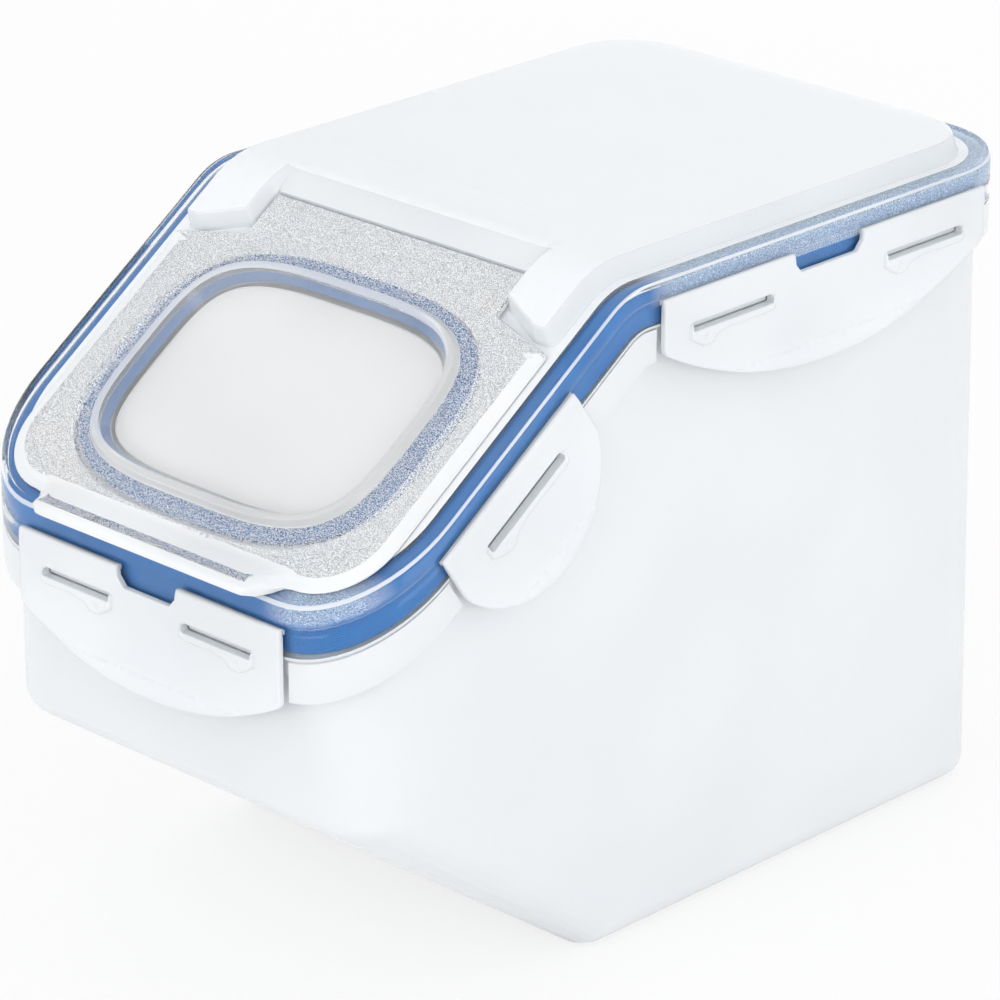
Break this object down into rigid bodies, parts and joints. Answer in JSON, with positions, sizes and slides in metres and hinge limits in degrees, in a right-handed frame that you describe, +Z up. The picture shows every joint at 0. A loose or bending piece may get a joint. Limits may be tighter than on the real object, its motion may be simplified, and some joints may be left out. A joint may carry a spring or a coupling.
{
  "type": "rice bin with flip lid",
  "caption": "Upright food keeper with a sloping front: a clip-on sealed lid with locking flaps around its rim, and a flip-up pouring door with a window in the slope.",
  "frame": {"origin": "middle of the bounding box at the underside of the floor, with the lid and every flap closed", "axes": "+Z up, +Y towards the back, +X to the right seen from the front; the sloping front with the door faces -Y"},
  "size_m": [0.158, 0.2624, 0.19],
  "materials": {
    "frosted_plastic_body": "translucent, smooth",
    "frosted_plastic_lid": "translucent, fine frosted texture on top",
    "frosted_plastic_door": "translucent, frosted face, clear ring and window",
    "frosted_plastic_flap": "translucent, smooth",
    "blue_silicone": "soft satin silicone"
  },
  "bodies": {
    "bin": {"bin_body": "frosted_plastic_body"},
    "lid": {"main_lid": "frosted_plastic_lid", "lid_gasket": "blue_silicone", "front_film_hinge": "frosted_plastic_lid", "back_film_hinge": "frosted_plastic_lid", "right_top_film_hinge": "frosted_plastic_lid", "left_top_film_hinge": "frosted_plastic_lid", "right_slope_film_hinge": "frosted_plastic_lid", "left_slope_film_hinge": "frosted_plastic_lid"},
    "door": {"flip_door": "frosted_plastic_door", "door_gasket": "blue_silicone"},
    "front_flap": {"front_flap": "frosted_plastic_flap"},
    "back_flap": {"back_flap": "frosted_plastic_flap"},
    "right_top_flap": {"right_top_flap": "frosted_plastic_flap"},
    "left_top_flap": {"left_top_flap": "frosted_plastic_flap"},
    "right_slope_flap": {"right_slope_flap": "frosted_plastic_flap"},
    "left_slope_flap": {"left_slope_flap": "frosted_plastic_flap"}
  },
  "joints": [
    {"name": "lid_lift", "type": "slide", "parent": "bin", "child": "lid", "axis": [0, 0, 1], "range_m": [0, 0.06]},
    {"name": "door_pivot", "type": "hinge", "parent": "lid", "child": "door", "pos_m": [0, -0.03797, 0.18241], "axis": [-1, 0, 0], "range_deg": [0, 120]},
    {"name": "front_flap_hinge", "type": "hinge", "parent": "lid", "child": "front_flap", "pos_m": [0, -0.12715, 0.1139], "axis": [-1, 0, 0], "range_deg": [0, 135]},
    {"name": "back_flap_hinge", "type": "hinge", "parent": "lid", "child": "back_flap", "pos_m": [0, 0.12935, 0.1793], "axis": [1, 0, 0], "range_deg": [0, 150]},
    {"name": "right_top_flap_hinge", "type": "hinge", "parent": "lid", "child": "right_top_flap", "pos_m": [0.0772, 0.04145, 0.1793], "axis": [0, -1, 0], "range_deg": [0, 150]},
    {"name": "left_top_flap_hinge", "type": "hinge", "parent": "lid", "child": "left_top_flap", "pos_m": [-0.0772, 0.04145, 0.1793], "axis": [0, 1, 0], "range_deg": [0, 150]},
    {"name": "right_slope_flap_hinge", "type": "hinge", "parent": "lid", "child": "right_slope_flap", "pos_m": [0.0772, -0.07655, 0.14788], "axis": [0, -0.824, -0.5666], "range_deg": [0, 150]},
    {"name": "left_slope_flap_hinge", "type": "hinge", "parent": "lid", "child": "left_slope_flap", "pos_m": [-0.0772, -0.07655, 0.14788], "axis": [0, 0.824, 0.5666], "range_deg": [0, 150]}
  ]
}
